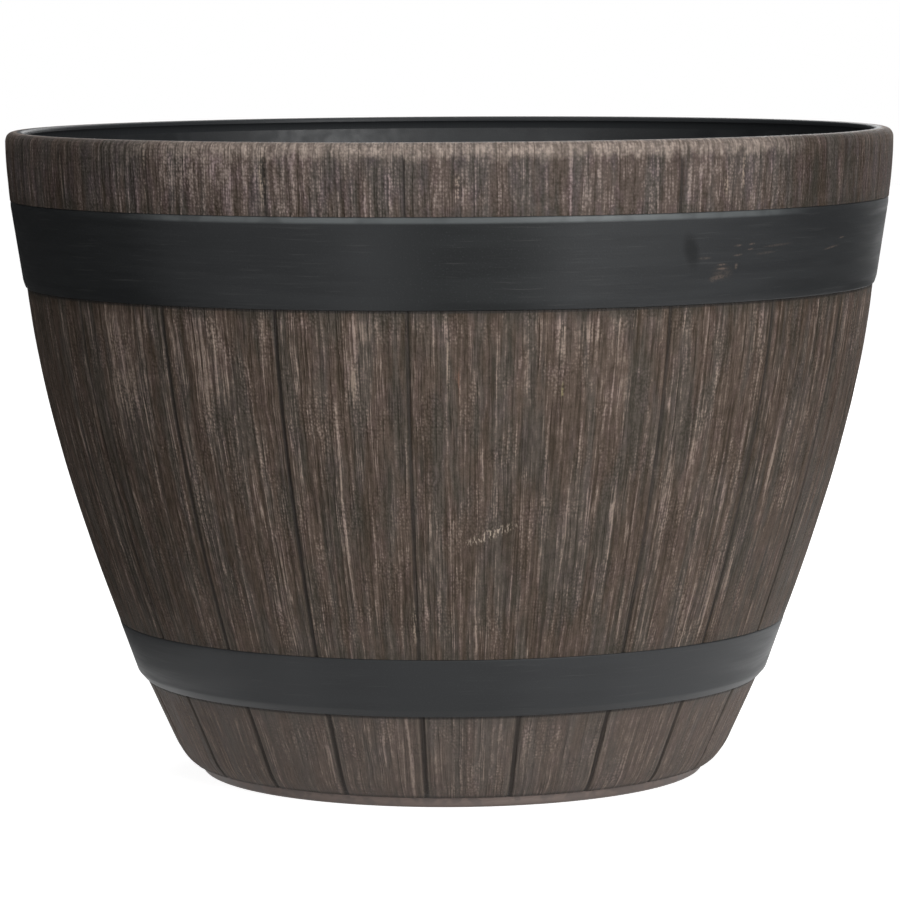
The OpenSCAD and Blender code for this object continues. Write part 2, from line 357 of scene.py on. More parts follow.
# How strongly each seam of a band is pressed, from the same seam on
BOTTOM_SEAMS = [1.0] * STAVES
MIDDLE_SEAMS = [0.75, 0.15, 0.75, 0.9, 0.9, 0.5, 0.8, 0.3, 0.9, 0.6, 0.2, 0.8, 0.7, 0.4, 0.9, 0.3, 0.8, 0.6,
                0.85, 0.95, 1.0]
TOP_SEAMS = [0.8, 0.2, 0.8, 0.35, 0.5, 0.2, 0.7, 0.4, 0.8, 0.3, 0.6, 0.5, 0.2, 0.7, 0.4, 0.6, 0.3, 0.5, 0.3,
             0.4, 0.8]
# The grain is cut in from a face that lies a little inside the band's own, deeper on some staves
setback = 0.05 * MM
stave_step = 0.2 * MM
relief_depth = 0.3 * MM
coarse_grain = 2.2 * MM
coarse_length = 45 * MM
fine_grain = 1.2 * MM
fine_length = 22 * MM
# Each stave's long edges fall away towards the seam
shoulder_w = 3 * MM
shoulder_depth = 0.12 * MM
# The grain fades near a hoop, and ends a little below the top of the rim
calm_from = 2 * MM
calm_to = 8 * MM
rim_fade_h = 2.5 * MM
rim_plain_h = 0.5 * MM
seam_pull = 0.6
# On a band that ends at a hoop no place counts as bare of paint
never_bare = 100 * MM
# Where each band starts on the map of the grain, so that none repeats another
BOTTOM_START = 0.0
MIDDLE_START = 0.1
TOP_START = 0.3


def turn_of(place):
    """How far round the barrel a place lies, as a share of a turn from the first seam."""
    return (math.atan2(place.y, place.x) - first_seam) / math.tau % 1.0


def moved_to_seams(turn, pull):
    """Columns drawn together towards the seams, where the shape turns most."""
    stave, t = divmod(turn * STAVES, 1.0)
    return (stave + t - pull * math.sin(math.tau * t) / math.tau) / STAVES


def step(value, low, high):
    """A soft step from 0 to 1 as a value goes from low to high."""
    t = min(max((value - low) / (high - low), 0.0), 1.0)
    return t * t * (3 - 2 * t)


def blended(values, turn):
    """A value given for the middle of each stave, at any place round the barrel."""
    stave, t = divmod(turn * STAVES - 0.5, 1.0)
    first, second = values[int(stave) % STAVES], values[int(stave + 1) % STAVES]
    return first + (second - first) * step(t, 0.15, 0.85)


def map_ring(bm, front, reach, strips, start):
    """Two maps of a ring: one of the grain, in metres round the barrel and along the section, and one for
    textures, cut into strips that lie above each other."""
    along = bm.verts.layers.float["along"]
    grain = bm.loops.layers.uv.new("grain")
    baked = bm.loops.layers.uv.new("OFBake")
    whole = max(v[along] for v in bm.verts) * 1.01
    front_share = 0.92
    margin = 0.004
    inner = 1 - 2 * margin
    for face in bm.faces:
        middle = turn_of(face.calc_center_median())
        strip = min(int(middle * strips), strips - 1)
        furthest = max(v[along] for v in face.verts)
        for loop in face.loops:
            turn = turn_of(loop.vert.co)
            turn += round(middle - turn)
            s = loop.vert[along]
            if furthest > front and s == 0:
                s = whole
            loop[grain].uv = (turn * math.tau * reach, start + s)
            if s <= front:
                share = front_share * s / front
            else:
                share = front_share + (1 - front_share) * (s - front) / (whole - front)
            across = turn * strips - strip
            loop[baked].uv = (margin + across * inner, (strip + margin + share * inner) / strips)


def stave_ring(name, front, back, columns, seam, loads, strips, start, low_hoop, high_hoop):
    """A ring of staves between the edges of the hoops below and above it, or up to the rim. The front of its
    section gets seams and grain, all cut inwards. A seam is its half width, its depth, how much paint lies
    along its edges, and how strongly each one is pressed."""
    groove_w, groove_depth, edged, strengths = seam
    at_rim = high_hoop > rim_z
    plain_above = rim_z - rim_plain_h
    bare_from = 0.0 if at_rim else never_bare
    bm = spun_mesh(front + back, columns, first_seam)
    along = bm.verts.layers.float["along"]
    layers = {key: bm.verts.layers.float.new(key)
              for key in ("relief", "groove", "verge", "beside", "load", "bare", "below", "above", "cap")}
    front_length = sum(math.dist(a, b) for a, b in zip(front, front[1:]))
    for v in bm.verts:
        r = v.co.xy.length
        turn = moved_to_seams(turn_of(v.co), seam_pull)
        stave, t = divmod(turn * STAVES, 1.0)
        index = int(stave) % STAVES
        from_seam = min(t, 1 - t) * math.tau * r / STAVES
        nearest_seam = round(turn * STAVES) % STAVES
        arc_length = turn * math.tau * rim_r
        coarse = noise.noise(Vector((arc_length / coarse_grain, v[along] / coarse_length, stave)))
        fine = noise.noise(Vector((arc_length / fine_grain, v[along] / fine_length, stave + 40)))
        height = min(max(0.5 + 0.75 * coarse + 0.45 * fine, 0.0), 1.0)
        # A weakly pressed seam comes and goes along its length
        pressed = strengths[nearest_seam]
        fading = noise.noise(Vector((nearest_seam * 3.7, v[along] / (40 * MM), 7)))
        waver = 1 - 0.5 * (1 - pressed) * (1 + fading)
        width = groove_w * (0.65 + 0.45 * pressed)
        full_depth_w = 0.4 * width
        cut = (1 - step(from_seam, full_depth_w, width)) * pressed ** 0.5 * waver
        shoulder = (1 - step(from_seam, 0, shoulder_w)) * shoulder_depth * pressed
        stand = stave_step * (0.5 + 0.5 * math.sin(index * 2.4))
        kept = 1 - step(v.co.z, plain_above - rim_fade_h, plain_above) if at_rim else 1.0
        below = high_hoop - v.co.z
        above = v.co.z - low_hoop
        calm = 1 - step(min(below, above), calm_from, calm_to)
        sunk = stand + relief_depth * (1 - height)
        sunk += (0.5 * relief_depth - sunk) * calm
        if v[along] <= front_length * 1.0001:
            r -= setback + kept * (groove_depth * cut + shoulder + sunk * (1 - cut))
        v[layers["relief"]] = height * kept
        v[layers["groove"]] = cut * kept
        past_seam = step(from_seam, 0.8 * width, width + 0.2 * MM)
        still_near = 1 - step(from_seam, width + 0.3 * MM, width + 1 * MM)
        v[layers["verge"]] = kept * edged * past_seam * still_near
        v[layers["beside"]] = kept * pressed * waver * (1 - step(from_seam, full_depth_w, shoulder_w))
        v[layers["load"]] = blended(loads, turn)
        v[layers["bare"]] = v[along] - front_length - bare_from
        v[layers["below"]] = below
        v[layers["above"]] = above
        v[layers["cap"]] = blended(RIM_LOAD, turn)
        a = first_seam + turn * math.tau
        v.co.x = r * math.cos(a)
        v.co.y = r * math.sin(a)
    map_ring(bm, front_length, max(r for r, z in front), strips, start)
    return as_object(name, bm)


# The bottom staves start with a small round over the foot ring, and run on a little way behind the edge of
# the lower hoop
lip_edge_r = 0.5 * MM
lip_edge = arc((edge_r - lip_edge_r, foot_h + lip_edge_r), lip_edge_r, -90, 0, 3)
tucked = 0.6 * MM
hidden_end = (bottom_end[0] + tucked * math.tan(lean), bottom_end[1] + tucked)
bottom_front = lip_edge + CORNER_ROUND[1:] + BOTTOM_STRAIGHT[1:] + [hidden_end]
foot_back = foot_r - 0.1 * MM
bottom_back = moved_in(BOTTOM_STRAIGHT[::-4], stave_t)
bottom_back += [(foot_back, hollow_z - 1 * MM), (foot_back, foot_h)]
middle_back = moved_in(MIDDLE_BULGE[::-9], stave_t)
paint_onto_top = 1.5 * MM
top_front = TOP_BULGE + arc((rim_r - rim_round, rim_z - rim_round), rim_round, 0, 90, 8)[1:]
top_front.append((rim_r - rim_round - paint_onto_top, rim_z))
lip_round = 1.2 * MM
# The cove under the lip: how far in from the wall and how far down, in millimetres
UNDER_LIP = [(1.2, 0.5), (0.7, 1.1), (0.35, 1.9), (0.1, 2.8)]
top_back = (
    arc((rim_r - lip_w + lip_round, rim_z - lip_round), lip_round, 90, 180, 4)
    + [(rim_r - lip_w, rim_z - lip_t)]
    + [(rim_r - wall_t - out * MM, rim_z - lip_t - down * MM) for out, down in UNDER_LIP]
    + [inner_top]
    + [(rim_r - stave_t, inner_top[1])]
    + moved_in([UPPER_HOOP[1]], stave_t)
)
# Half width, depth, paint along the edges, and how strongly each is pressed
BOTTOM_SEAM = (1.3 * MM, 1.1 * MM, 1.0, BOTTOM_SEAMS)
MIDDLE_SEAM = (1.1 * MM, 0.9 * MM, 0.25, MIDDLE_SEAMS)
TOP_SEAM = (0.8 * MM, 0.5 * MM, 0.1, TOP_SEAMS)
# Where a band has no hoop below or above it
far_off = 1.0
staves_bottom = stave_ring("staves_bottom", bottom_front, bottom_back, 84, BOTTOM_SEAM, WALL_LOAD, 7,
                           BOTTOM_START, -far_off, LOWER_HOOP[0][1])
staves_middle = stave_ring("staves_middle", MIDDLE_BULGE, middle_back, 105, MIDDLE_SEAM, WALL_LOAD, 3,
                           MIDDLE_START, LOWER_HOOP[1][1], UPPER_HOOP[0][1])
staves_top = stave_ring("staves_top", top_front, top_back, 105, TOP_SEAM, TOP_LOAD, 7,
                        TOP_START, UPPER_HOOP[1][1], far_off)

# Small rounded beads of paint or dimples in a map in metres
tree, given, result = new_group("beads", {"Vector": None, "Width": MM, "Height": MM})
place = add(tree, "ShaderNodeSeparateXYZ", {0: given["Vector"]}).outputs
across = maths(tree, "DIVIDE", place["X"], given["Width"])
down = maths(tree, "DIVIDE", place["Y"], given["Height"])
cells = add(tree, "ShaderNodeCombineXYZ", {0: across, 1: down}).outputs[0]
bead = add(tree, "ShaderNodeTexVoronoi", {"Vector": cells, "Scale": 1.0, "Randomness": 0.7},
           voronoi_dimensions="2D")
tree.links.new(bead.outputs["Distance"], result)
beads = tree

# A soft oval mark on a map in metres: 1 in its middle and 0 outside it
tree, given, result = new_group("mark", {"Vector": None, "Middle": None, "Size": None, "Turn": None})
laid = {"Vector": given["Vector"], "Location": given["Middle"], "Rotation": given["Turn"],
        "Scale": given["Size"]}
oval = add(tree, "ShaderNodeMapping", laid, vector_type="TEXTURE")
from_middle = add(tree, "ShaderNodeVectorMath", {0: oval.outputs[0]}, operation="LENGTH").outputs["Value"]
tree.links.new(ramp(tree, from_middle, 1.0, 0.3), result)
marks = tree


def add_mark(tree, vector, reach, start, azimuth, along, width, height, turn=0.0):
    """A mark at so many degrees from the front to the right, and so many millimetres along the section."""
    around = (azimuth + first_seam_left) / 360 % 1.0 * math.tau * reach
    values = {"Vector": vector, "Middle": (around, start + along * MM, 0), "Turn": (0, 0, math.radians(turn)),
              "Size": (width * MM / 2, height * MM / 2, 1)}
    return use_group(tree, marks, values)


material, tree, shader = new_material("brushed staves")
grain = add(tree, "ShaderNodeUVMap", uv_map="grain").outputs["UV"]


def kept_value(name):
    """A value that the ring's vertices keep."""
    return add(tree, "ShaderNodeAttribute", attribute_name=name).outputs["Fac"]


def lines_of(width, length, seed):
    """Drawn out lines on the staves, of a width and length in millimetres."""
    values = {"Vector": grain, "Width": width * MM, "Length": length * MM, "Seed": seed}
    return use_group(tree, drawn_lines, values)


def threads_of(width, length, seed, thin):
    """Thin long lines that wander slowly: the places where a drawn out noise passes its middle."""
    away = maths(tree, "ABSOLUTE", maths(tree, "SUBTRACT", lines_of(width, length, seed), 0.5))
    return ramp(tree, away, thin, 0.0)


relief = kept_value("relief")
groove = kept_value("groove")
below = kept_value("below")
above = kept_value("above")
place = add(tree, "ShaderNodeTexCoord").outputs["Object"]
height_above_floor = add(tree, "ShaderNodeSeparateXYZ", {0: place}).outputs["Z"]
near_rim = ramp(tree, height_above_floor, 245 * MM, 262 * MM)
# How far drawn out lines stray from their mean, so that weights below are in steps of that size
stray = 0.055
hair = lines_of(1.5, 36, 1.0)
patches = lines_of(13, 200, 18.0)
speckled = ramp(tree, lines_of(12, 22, 31.0), 0.48, 0.6)
speckled = maths(tree, "MAXIMUM", speckled, maths(tree, "MULTIPLY", near_rim, 0.6))
bead = use_group(tree, beads, {"Vector": grain, "Width": 1.3 * MM, "Height": 1.5 * MM})
dust = use_group(tree, grains, {"Vector": grain, "Size": 0.8 * MM, "Seed": 6.0})
runs = ramp(tree, lines_of(9, 90, 61.0), 0.44, 0.56, 0.3, 1.0)
threads = maths(tree, "MULTIPLY", threads_of(4.2, 170, 51.0, 0.036), runs)
threads = maths(tree, "MAXIMUM", threads, maths(tree, "MULTIPLY", threads_of(2.7, 110, 53.0, 0.03), runs))
threads = maths(tree, "MULTIPLY", threads, ramp(tree, near_rim, 0.0, 1.0, 1.0, 0.45))
dark_threads = threads_of(3.4, 120, 57.0, 0.034)
height = summed(tree, [
    (hair, 0.5, 0.38 / stray),
    (lines_of(2.4, 110, 5.0), 0.5, 0.38 / stray),
    (lines_of(1.8, 5, 9.0), 0.5, 0.33 / stray),
    (dust, 0.5, 0.11 / stray),
    (relief, 0.5, 1.1),
    (threads, 0.25, 2.5),
    (dark_threads, 0.2, -1.7),
])
beaded = maths(tree, "MULTIPLY", summed(tree, [(bead, 0.42, -4.0)]), ramp(tree, speckled, 0.0, 1.0, 0.3, 1.0))
height = maths(tree, "ADD", height, beaded)
brushing = summed(tree, [
    (lines_of(5, 140, 14.0), 0.5, 0.08 / stray),
    (patches, 0.5, 0.1 / stray),
    (lines_of(8, 16, 16.0), 0.5, 0.1 / stray),
    # More paint low down: painted light from the floor
    (ramp(tree, height_above_floor, 60 * MM, 40 * MM), 0.0, 0.7),
    (ramp(tree, height_above_floor, 160 * MM, 205 * MM), 0.0, 0.3),
    (kept_value("load"), 0.0, 0.9),
    # Less paint just below and just above each hoop: painted shade
    (ramp(tree, below, 6 * MM, 0.5 * MM), 0.0, -1.5),
    (ramp(tree, above, 5 * MM, 0.5 * MM), 0.0, -0.8),
    (kept_value("beside"), 0.0, -1.3),
    (groove, 0.0, -1.0),
])

# Where more or less paint stayed on the middle band and on the top band: amount, and place and size as for
# a mark
middle_reach = MIDDLE_BULGE[-1][0]
PRESSED = [
    (-1.1, (-3.2, 112, 14, 90)), (-0.9, (-12.1, 60, 14, 60)), (-0.8, (17.2, 98, 18, 60)),
    (-0.9, (45.3, 80, 14, 70)), (-1.0, (-6.6, 118, 12, 70)), (-1.2, (-54, 66, 26, 90)),
    (-0.8, (-23.8, 122, 9, 60)), (-0.6, (-0.2, 78, 22, 50)), (-0.7, (27.5, 60, 14, 60)),
    (-1.3, (34.8, 113, 18, 50)), (-1.3, (22.5, 72, 24, 50)), (2.1, (-32.5, 132, 28, 54)),
    (0.8, (-28.6, 84, 10, 70)), (0.7, (-17.1, 116, 16, 80)), (0.8, (8.2, 120, 22, 70)),
    (1.6, (20.8, 130, 30, 74)), (0.9, (35.6, 90, 12, 110)), (0.8, (38.9, 22, 14, 40)),
    (0.5, (-46, 100, 14, 80)), (2.5, (-49, 126, 34, 90)), (1.5, (-43, 26, 26, 50)),
    (0.8, (-38, 72, 20, 50)), (1.1, (0, 142, 20, 30)), (0.7, (10.3, 28, 18, 36)), (0.7, (24.7, 24, 18, 36)),
]
for amount, place in PRESSED:
    mark = add_mark(tree, grain, middle_reach, MIDDLE_START, *place)
    brushing = maths(tree, "ADD", brushing, maths(tree, "MULTIPLY", mark, 0.75 * amount))
PRESSED_ABOVE = [
    (-1.1, (-35, 5, 26, 18)), (0.9, (-31, 18, 50, 24)), (0.9, (0.9, 6, 30, 16)), (-0.8, (-12, 10, 12, 18)),
    (0.7, (31, 16, 22, 24)), (-1.1, (52, 14, 22, 30)), (0.6, (66, 10, 20, 24)), (-0.8, (-56, 6, 26, 18)),
]
for amount, place in PRESSED_ABOVE:
    mark = add_mark(tree, grain, rim_r, TOP_START, *place)
    brushing = maths(tree, "ADD", brushing, maths(tree, "MULTIPLY", mark, amount))
caught = maths(tree, "ADD", height, brushing)

# The plastic shows through greyish or brown, and the paint over it is a warmer tan where more of it stayed
tint = ramp(tree, summed(tree, [(lines_of(9, 60, 23.0), 0.5, 0.7 / stray), (brushing, 0.0, 0.5)]), -1.4, 1.2)
plastic = mixed(tree, tint, shade(57, 52, 44), shade(61, 51, 41))
worn_paint = mixed(tree, tint, shade(93, 84, 77), shade(97, 83, 74))
colour = mixed(tree, ramp(tree, caught, -3.1, 2.0), plastic, worn_paint)
colour = mixed(tree, ramp(tree, caught, 0.7, 4.8), colour, shade(160, 143, 131))
mauve = ramp(tree, lines_of(6, 16, 27.0), 0.46, 0.64, 0.0, 0.75)
mauve = maths(tree, "MULTIPLY", mauve, ramp(tree, near_rim, 0.0, 1.0, 0.55, 1.0))
colour = mixed(tree, mauve, colour, (1.0, 0.95, 1.06, 1), "MULTIPLY")
colour = mixed(tree, near_rim, colour, (0.99, 1.02, 1.09, 1), "MULTIPLY")
verge = maths(tree, "MULTIPLY", kept_value("verge"), ramp(tree, hair, 0.4, 0.6, 0.1, 0.6))
colour = mixed(tree, verge, colour, shade(126, 114, 102))
# Low down the staves are lighter and greyer: painted light from the floor. Dirt lies in the seams, and
# painted shadow under the hoops and by the foot
painted_floor_light = ramp(tree, height_above_floor, 75 * MM, 42 * MM, 0.0, 0.28)
colour = mixed(tree, painted_floor_light, colour, shade(114, 106, 102))
colour = mixed(tree, maths(tree, "MULTIPLY", groove, 0.85), colour, shade(48, 43, 40))
# A painted shadow just under each hoop
painted_shadow_under_hoop = maths(tree, "MULTIPLY", ramp(tree, below, 1.4 * MM, 0.5 * MM), 0.8)
colour = mixed(tree, painted_shadow_under_hoop, colour, shade(36, 34, 33))
# A painted shadow line on the staves' bottom edge over the foot
painted_shadow_by_foot = ramp(tree, height_above_floor, foot_h + 1.8 * MM, foot_h + 0.6 * MM, 0.0, 0.6)
colour = mixed(tree, painted_shadow_by_foot, colour, shade(44, 40, 38))

# The paler cap of paint over the rim, made lighter as a painted highlight, with a ragged edge on its inner
# side and plain plastic beyond
bare = kept_value("bare")
drips = use_group(tree, grains, {"Vector": grain, "Size": 9 * MM, "Seed": 42.0})
ragged = summed(tree, [(bare, 0.0, 1.0), (lines_of(2.5, 7, 41.0), 0.5, 9 * MM), (drips, 0.5, 8 * MM)])
cap = maths(tree, "MULTIPLY", ramp(tree, ragged, -12 * MM, -7 * MM), kept_value("cap"))
cap = maths(tree, "MULTIPLY", cap, ramp(tree, height, -1.6, 1.0, 0.4, 0.95))
# A painted highlight along the flat top of the rim
cap = maths(tree, "MAXIMUM", cap, ramp(tree, bare, -3 * MM, -1.5 * MM, 0.0, 0.6))
flecks = ramp(tree, lines_of(3, 5, 43.0), 0.4, 0.6)
cap_paint_and_highlight = mixed(tree, flecks, shade(140, 127, 118), shade(174, 159, 148))
colour = mixed(tree, cap, colour, cap_paint_and_highlight)
plain = ramp(tree, summed(tree, [(bare, 0.0, 1.0), (patches, 0.5, 4 * MM)]), -0.8 * MM, 0.0)
colour = mixed(tree, plain, colour, shade(50, 52, 54))

# Strokes where the brush pressed harder or a drop ran: colour, share, and their place and size on a band
pale = shade(176, 158, 142)
rust = shade(128, 92, 74)
yellowish = shade(150, 140, 104)
STROKES = [
    (pale, 0.7, middle_reach, MIDDLE_START, (-0.3, 129, 1.8, 36)),
    (rust, 0.6, middle_reach, MIDDLE_START, (0.9, 124, 2.2, 24)),
    (pale, 0.45, middle_reach, MIDDLE_START, (-12.5, 124, 3.2, 20)),
    (yellowish, 0.7, middle_reach, MIDDLE_START, (14.5, 120, 1.6, 10)),
    (pale, 0.7, middle_reach, MIDDLE_START, (-5.9, 17, 4.5, 26)),
    (pale, 0.3, middle_reach, MIDDLE_START, (-11.1, 145, 10, 12)),
    (pale, 0.35, middle_reach, MIDDLE_START, (17.4, 144.5, 10, 12)),
    (pale, 0.5, rim_r, TOP_START, (-56.6, 16, 1.6, 32)),
    (pale, 0.5, rim_r, TOP_START, (-39.9, 18, 2.0, 34)),
    (pale, 0.6, rim_r, TOP_START, (-22.8, 16, 4.0, 28)),
    (pale, 0.8, rim_r, TOP_START, (0.9, 12, 3.4, 16)),
    (pale, 0.7, rim_r, TOP_START, (35.4, 11, 3.0, 12)),
    (pale, 0.7, rim_r, TOP_START, (38.1, 17, 2.4, 20)),
]
for tone, share, reach, start, place in STROKES:
    mark = add_mark(tree, grain, reach, start, *place)
    catches = ramp(tree, height, -1.2, 1.0, 0.0, share)
    colour = mixed(tree, maths(tree, "MULTIPLY", mark, catches), colour, tone)
# A slanting pale scuff below the middle of the front
scuff = add_mark(tree, grain, middle_reach, MIDDLE_START, 5.6, 58, 36, 6, 20)
ticks = ramp(tree, lines_of(0.9, 2.2, 47.0), 0.5, 0.62, 0.0, 0.8)
colour = mixed(tree, maths(tree, "MULTIPLY", scuff, ticks), colour, shade(188, 172, 156))

tree.links.new(colour, shader.inputs["Base Color"])
rough = ramp(tree, caught, -1.0, 3.0, 0.58, 0.78)
plain_rough = 0.44
smoother = maths(tree, "MULTIPLY", plain, maths(tree, "SUBTRACT", plain_rough, rough))
tree.links.new(maths(tree, "ADD", rough, smoother), shader.inputs["Roughness"])
shader.inputs["Specular IOR Level"].default_value = 0.2
felt = maths(tree, "MULTIPLY", height, ramp(tree, plain, 0.0, 1.0, 1.0, 0.1))
bump = add(tree, "ShaderNodeBump", {"Height": felt, "Strength": 1.0, "Distance": 0.075 * MM})
tree.links.new(bump.outputs["Normal"], shader.inputs["Normal"])
for ring in (staves_bottom, staves_middle, staves_top):
    soften(ring, 50)
    ring.data.materials.append(material)
    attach(ring, "barrel")
    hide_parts("barrel_shell")

# The hoops
# Two flat bands of smooth charcoal plastic that snap into their seats, with a bevel along each edge. Wiping
# the paint off them left faint marks round the barrel and a few tan scuffs.
hoop_gap = 0.1 * MM
bottom_bevel_h = 3.2 * MM
top_bevel_h = 2.2 * MM
lower_bevel_d = 0.1 * MM
upper_bevel_d = 0.35 * MM
edge_proud = 0.5 * MM
edge_round = 0.7 * MM
# The face ripples a little, and the back, this far in, doesn't
ripple = 0.12 * MM
rippled_t = hoop_seat_t - hoop_gap - 1.5 * MM
# Wiping marks settle to a plain tone beside the place where a hoop's map begins and ends
settled_within = 2 * MM
settled_until = 22 * MM
HOOP_COLUMNS = 20
LOWER_START = 0.0
UPPER_START = 0.1
# How strong the painted highlight on the top edge of the upper hoop is above each stave
LEDGE_HIGHLIGHTS = [0.7, 1.0, 0.7, 0.0, 0.1, 0.4, 0.8, 0.5, 0.2, 0.6, 0.9, 0.4, 0.1, 0.5, 0.8, 0.4, 0.1, 0.0, 0.05, 0.8,
          0.85]
# How much grey lies on each hoop beside each stave: dust, and painted light that evens out the hoop's
# brightness round the barrel
LOWER_DUST_AND_LIGHT = [0.25, 0.35, 0.45, 0.42, 0.5, 0.5, 0.4, 0.5, 0.4, 0.5, 0.4, 0.5, 0.4, 0.5, 0.5, 0.4, 0.5, 0.5,
              0.5, 0.38, 0.26]
UPPER_DUST_AND_LIGHT = [0.0, 0.26, 0.3, 0.25, 0.25, 0.4, 0.2, 0.25, 0.2, 0.2, 0.25, 0.2, 0.2, 0.25, 0.2, 0.2, 0.15,
              0.12, 0.12, 0.3, 0.24]


def eased(points, reach, steps):
    """The same line of points with each corner between its ends rounded off, from a reach before to a reach
    after it."""
    line = [points[0]]
    for before, at, after in zip(points, points[1:], points[2:]):
        first = Vector(at).lerp(Vector(before), min(reach / math.dist(at, before), 0.45))
        last = Vector(at).lerp(Vector(after), min(reach / math.dist(at, after), 0.45))
        for i in range(steps + 1):
            t = i / steps
            line.append(tuple(first.lerp(Vector(at), t).lerp(Vector(at).lerp(last, t), t)))
    return line + [points[-1]]


def hoop(name, node, face, step_out, top_bevel_d, start, ledge_highlights, dust_and_light_by_stave):
    """A hoop in its seat, which stands out from the staves below it by a step. Its face ripples a little."""
    (low_r, low_z), (high_r, high_z) = face
    slope = (high_r - low_r) / (high_z - low_z)
    back = hoop_seat_t - hoop_gap
    low_z += hoop_gap
    high_z -= hoop_gap
    corners = [
        (low_r - back, low_z), (low_r - step_out + edge_proud, low_z),
        (low_r + bottom_bevel_h * slope, low_z + bottom_bevel_h),
        (high_r - top_bevel_h * slope, high_z - top_bevel_h), (high_r - top_bevel_d, high_z),
        (high_r - back, high_z),
    ]
    front = eased(corners, edge_round, 4)
    bm = spun_mesh(front, HOOP_COLUMNS, first_seam)
    from_top = bm.verts.layers.float.new("from top")
    ledge_highlight = bm.verts.layers.float.new("ledge_highlight")
    dust_and_light = bm.verts.layers.float.new("dust_and_light")
    by_join = bm.verts.layers.float.new("by join")
    for v in bm.verts:
        v[from_top] = high_z - v.co.z
        from_join = min(turn_of(v.co), 1 - turn_of(v.co)) * math.tau * high_r
        v[by_join] = 1 - step(from_join, settled_within, settled_until)
        v[ledge_highlight] = blended(ledge_highlights, turn_of(v.co))
        v[dust_and_light] = blended(dust_and_light_by_stave, turn_of(v.co))
        if v.co.xy.length > low_r - rippled_t:
            around = turn_of(v.co) * math.tau
            wave = noise.noise(Vector((3 * math.cos(around), 3 * math.sin(around), v.co.z / (18 * MM))))
            v.co.xy *= 1 - ripple * (0.5 + 0.5 * wave) / v.co.xy.length
    front_length = sum(math.dist(a, b) for a, b in zip(front, front[1:]))
    map_ring(bm, front_length, high_r, 3, start)
    piece = as_object(name, bm)
    soften(piece, 40)
    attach(piece, "barrel")
    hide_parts(node)
    return piece


material, tree, shader = new_material("hoop plastic")
around = add(tree, "ShaderNodeUVMap", uv_map="grain").outputs["UV"]
away_from_join = maths(tree, "SUBTRACT", 1.0, kept_value("by join"))


def settled(pattern):
    """The same pattern, brought to its middle value where the map of the hoop begins and ends."""
    varying = maths(tree, "MULTIPLY", maths(tree, "SUBTRACT", pattern, 0.5), away_from_join)
    return maths(tree, "ADD", varying, 0.5)


turned = add(tree, "ShaderNodeMapping", {"Vector": around, "Rotation": (0, 0, math.radians(90))}).outputs[0]
wiped = use_group(tree, drawn_lines, {"Vector": turned, "Width": 0.9 * MM, "Length": 30 * MM, "Seed": 3.0})
broad = use_group(tree, drawn_lines, {"Vector": turned, "Width": 6 * MM, "Length": 80 * MM, "Seed": 8.0})
wiped = settled(wiped)
broad = settled(broad)
skin = use_group(tree, grains, {"Vector": around, "Size": 0.8 * MM, "Seed": 12.0})
colour = mixed(tree, ramp(tree, broad, 0.35, 0.65), shade(26, 28, 29), shade(33, 35, 36))
colour = mixed(tree, ramp(tree, wiped, 0.58, 0.8, 0.0, 0.35), colour, shade(80, 80, 79))
colour = mixed(tree, ramp(tree, skin, 0.55, 0.8, 0.0, 0.25), colour, shade(66, 68, 70))
# Dust and painted light, laid round the hoop stave by stave
colour = mixed(tree, kept_value("dust_and_light"), colour, shade(84, 85, 87))
cloud = settled(use_group(tree, grains, {"Vector": around, "Size": 9 * MM, "Seed": 15.0}))
cloud = ramp(tree, cloud, 0.3, 0.6, 0.6, 1.0)
# A painted highlight on the top bevel, given stave by stave
ledge = ramp(tree, kept_value("from top"), 3.2 * MM, 1.8 * MM)
ledge_highlight = maths(tree, "MULTIPLY", kept_value("ledge_highlight"), cloud)
colour = mixed(tree, maths(tree, "MULTIPLY", ledge, ledge_highlight), colour, shade(104, 108, 109))

# Scuffs of paint on the upper hoop, each as its share, place and size, and one dark patch beside them
hoop_reach = UPPER_HOOP[1][0]
SCUFFS = [
    (0.26, (38.1, 26.2, 6, 1.2, 4)), (0.28, (40.4, 26.6, 4.5, 1.2, 4)), (0.24, (40.2, 24.4, 4.5, 1.1, 4)),
    (0.22, (38.2, 22.2, 7, 1.2, 6)), (0.34, (35.7, 18.5, 7, 1.1, 2)), (0.34, (35.8, 16.8, 7, 1.1, 2)),
    (0.3, (38.1, 17.6, 2, 3.4, 0)), (0.18, (35.2, 13.2, 10, 2.4, 3)), (0.12, (34.6, 12.2, 6, 3.0, 0)),
    (0.36, (59.6, 26.5, 6, 1.0, 5)), (0.26, (57, 22.6, 17, 1.0, 7)), (0.12, (45, 25.5, 22, 1.4, 3)),
    (0.12, (43, 22.5, 16, 1.4, 3)), (0.14, (33, 21.5, 9, 1.4, 0)), (0.1, (36, 15, 14, 8, 0)),
]
uneven = use_group(tree, grains, {"Vector": around, "Size": 1.1 * MM, "Seed": 25.0})
uneven = ramp(tree, uneven, 0.35, 0.6, 0.3, 1.0)
for share, place in SCUFFS:
    mark = add_mark(tree, around, hoop_reach, UPPER_START, *place)
    scuffed = maths(tree, "MULTIPLY", mark, maths(tree, "MULTIPLY", uneven, share))
    colour = mixed(tree, scuffed, colour, shade(146, 126, 112))
dark_patch = add_mark(tree, around, hoop_reach, UPPER_START, 30.9, 25, 10, 20, 20)
colour = mixed(tree, maths(tree, "MULTIPLY", dark_patch, 0.5), colour, shade(20, 21, 21))
tree.links.new(colour, shader.inputs["Base Color"])
worn = summed(tree, [(broad, 0.0, 1.0), (wiped, 0.0, 0.5)])
tree.links.new(ramp(tree, worn, 0.5, 1.0, 0.4, 0.52), shader.inputs["Roughness"])
shader.inputs["Specular IOR Level"].default_value = 0.17
marked = summed(tree, [(skin, 0.0, 0.7), (wiped, 0.0, 1.0)])
